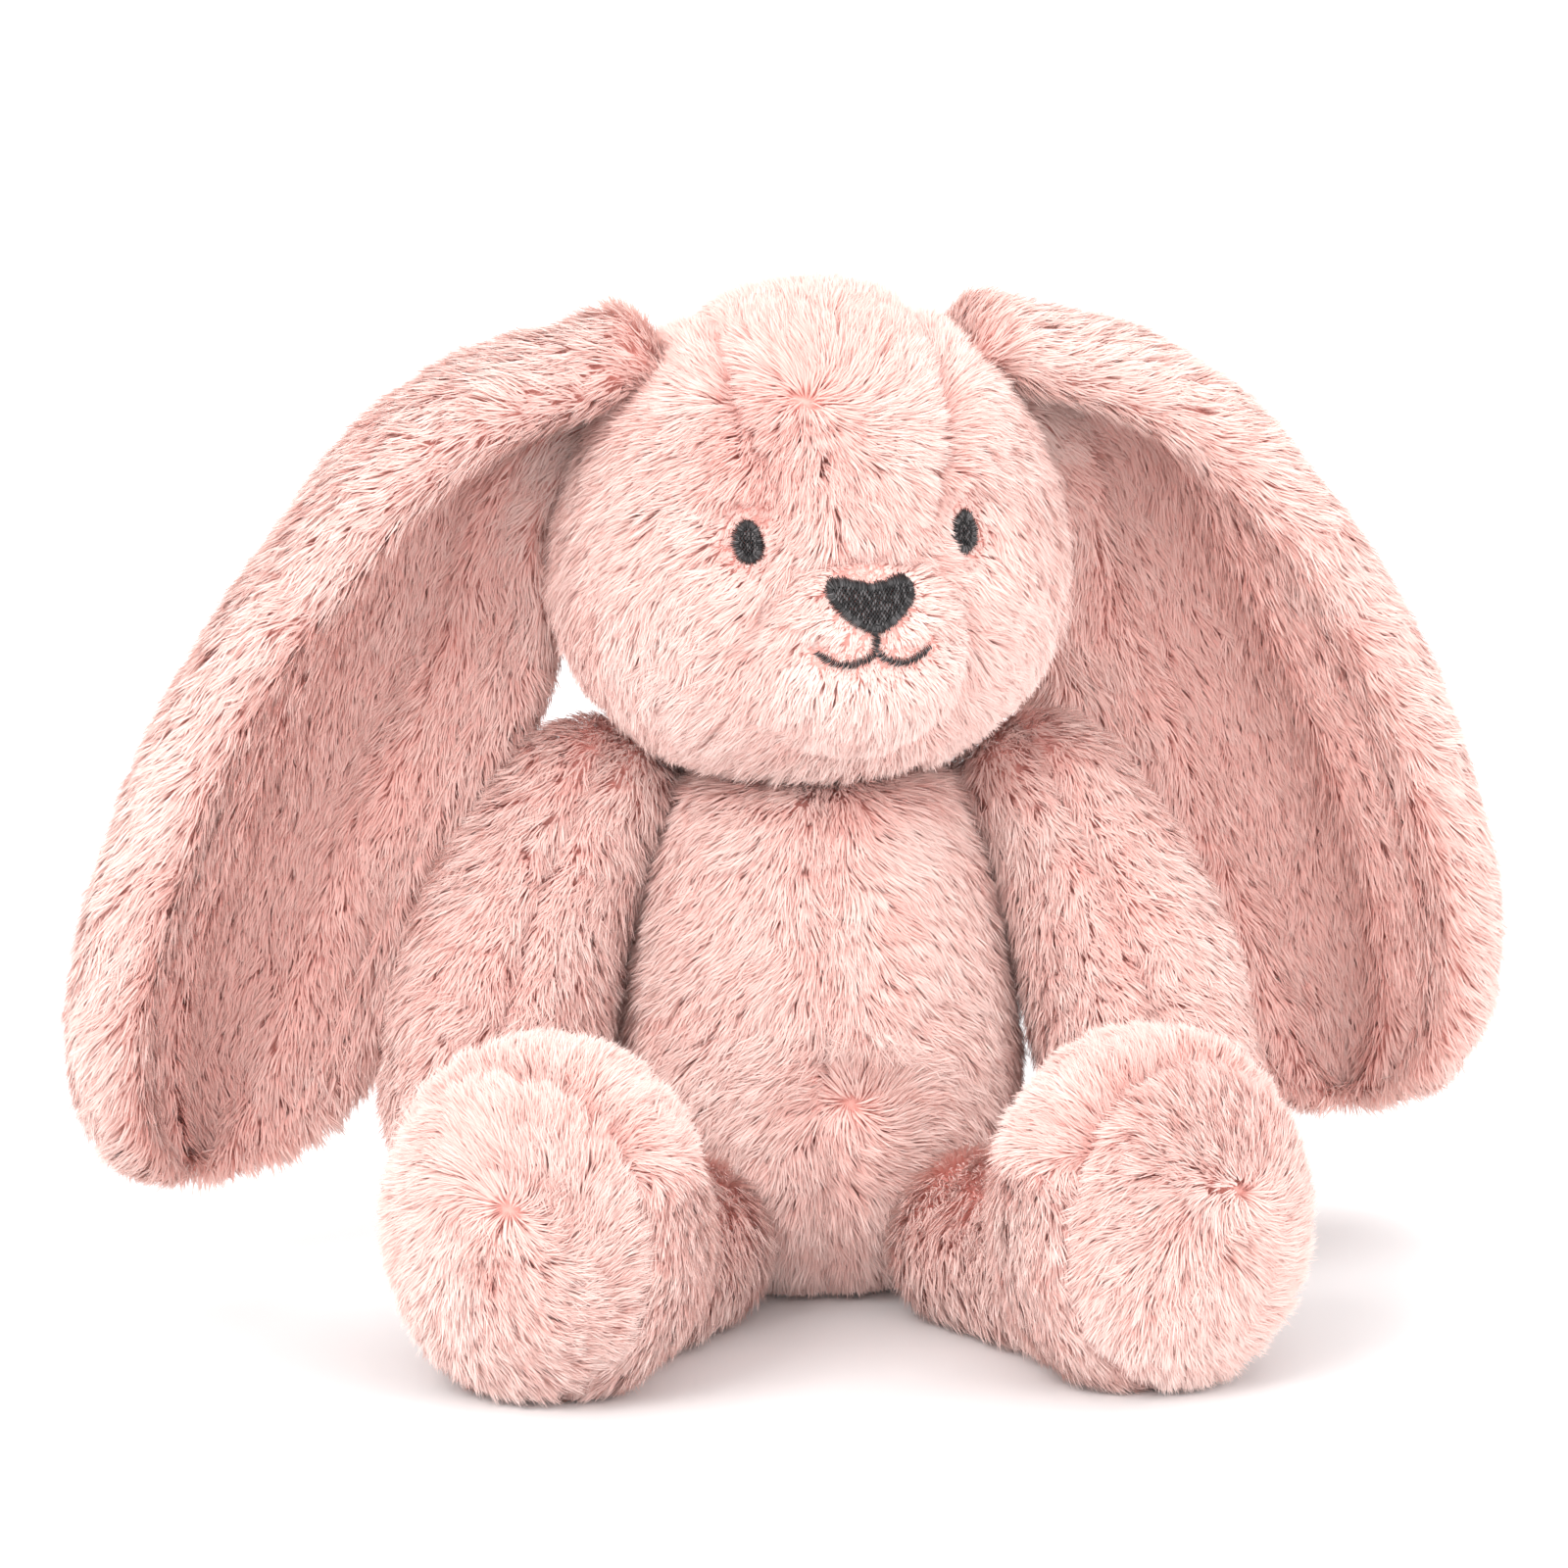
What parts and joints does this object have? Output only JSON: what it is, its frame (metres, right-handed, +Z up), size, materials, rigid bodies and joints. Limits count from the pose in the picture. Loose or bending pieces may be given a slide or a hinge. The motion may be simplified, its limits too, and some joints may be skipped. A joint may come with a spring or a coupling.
{
  "type": "plush bunny",
  "caption": "Seated plush bunny with long lop ears, a round head, embroidered face, posable arms and legs and a round tail.",
  "frame": {"origin": "centre of the flat seat, on the floor", "axes": "+Z up, the toy faces -Y, +X is the toy's own left side"},
  "size_m": [0.3525, 0.2182, 0.247],
  "materials": {
    "pink_plush": "long soft pile",
    "fibre_fill": "loose fibre",
    "pouch_cloth": "thin woven",
    "pellets": "loose round pellets, drawn as one solid",
    "face_thread": "satin-stitch embroidery",
    "pink_thread": "sewing thread",
    "label_tape": "smooth woven tape"
  },
  "bodies": {
    "torso": {"torso_front_left": "pink_plush", "torso_front_right": "pink_plush", "torso_back_left": "pink_plush", "torso_back_right": "pink_plush", "seat_panel": "pink_plush", "torso_stuffing": "fibre_fill", "pellet_pouch": "pouch_cloth", "pellets": "pellets", "tail_skin": "pink_plush", "tail_stuffing": "fibre_fill", "care_label": "label_tape", "back_closing_stitches": "pink_thread"},
    "neck": {"neck_thread": "pink_thread"},
    "head": {"face_gusset": "pink_plush", "nape_gusset": "pink_plush", "cheek_left": "pink_plush", "cheek_right": "pink_plush", "head_back_left": "pink_plush", "head_back_right": "pink_plush", "head_stuffing": "fibre_fill", "muzzle_panel": "pink_plush", "muzzle_stuffing": "fibre_fill", "eye_left": "face_thread", "eye_right": "face_thread", "nose": "face_thread", "mouth": "face_thread"},
    "ear_left": {"ear_left_back": "pink_plush", "ear_left_front": "pink_plush", "ear_left_wadding": "fibre_fill"},
    "arm_left": {"arm_left_outer": "pink_plush", "arm_left_inner": "pink_plush", "arm_left_stuffing": "fibre_fill"},
    "leg_left": {"leg_left_outer": "pink_plush", "leg_left_inner": "pink_plush", "foot_left_sole": "pink_plush", "leg_left_stuffing": "fibre_fill"},
    "ear_right": {"ear_right_back": "pink_plush", "ear_right_front": "pink_plush", "ear_right_wadding": "fibre_fill"},
    "arm_right": {"arm_right_outer": "pink_plush", "arm_right_inner": "pink_plush", "arm_right_stuffing": "fibre_fill"},
    "leg_right": {"leg_right_outer": "pink_plush", "leg_right_inner": "pink_plush", "foot_right_sole": "pink_plush", "leg_right_stuffing": "fibre_fill"}
  },
  "joints": [
    {"name": "neck_turn", "type": "hinge", "parent": "torso", "child": "neck", "pos_m": [0, 0, 0.1285], "axis": [0, 0, 1], "range_deg": [-20, 0]},
    {"name": "neck_nod", "type": "hinge", "parent": "neck", "child": "head", "pos_m": [0, 0, 0.1285], "axis": [0.9833, 0.1822, 0], "range_deg": [-4, 12]},
    {"name": "ear_left_lift", "type": "hinge", "parent": "head", "child": "ear_left", "pos_m": [0.05302, 0.02139, 0.226], "axis": [0.1822, -0.9833, 0], "range_deg": [0, 70]},
    {"name": "ear_right_lift", "type": "hinge", "parent": "head", "child": "ear_right", "pos_m": [-0.06103, 0.00025, 0.226], "axis": [-0.1822, 0.9833, 0], "range_deg": [0, 70]},
    {"name": "arm_left_raise", "type": "hinge", "parent": "torso", "child": "arm_left", "pos_m": [0.05478, 0, 0.121], "axis": [-1, 0, 0], "range_deg": [0, 75]},
    {"name": "arm_right_raise", "type": "hinge", "parent": "torso", "child": "arm_right", "pos_m": [-0.05478, 0, 0.121], "axis": [-1, 0, 0], "range_deg": [0, 75]},
    {"name": "leg_left_lift", "type": "hinge", "parent": "torso", "child": "leg_left", "pos_m": [0.03773, -0.05193, 0.019], "axis": [-0.8572, -0.515, 0], "range_deg": [0, 25]},
    {"name": "leg_right_lift", "type": "hinge", "parent": "torso", "child": "leg_right", "pos_m": [-0.03773, -0.05193, 0.019], "axis": [-0.8572, 0.515, 0], "range_deg": [0, 25]}
  ]
}
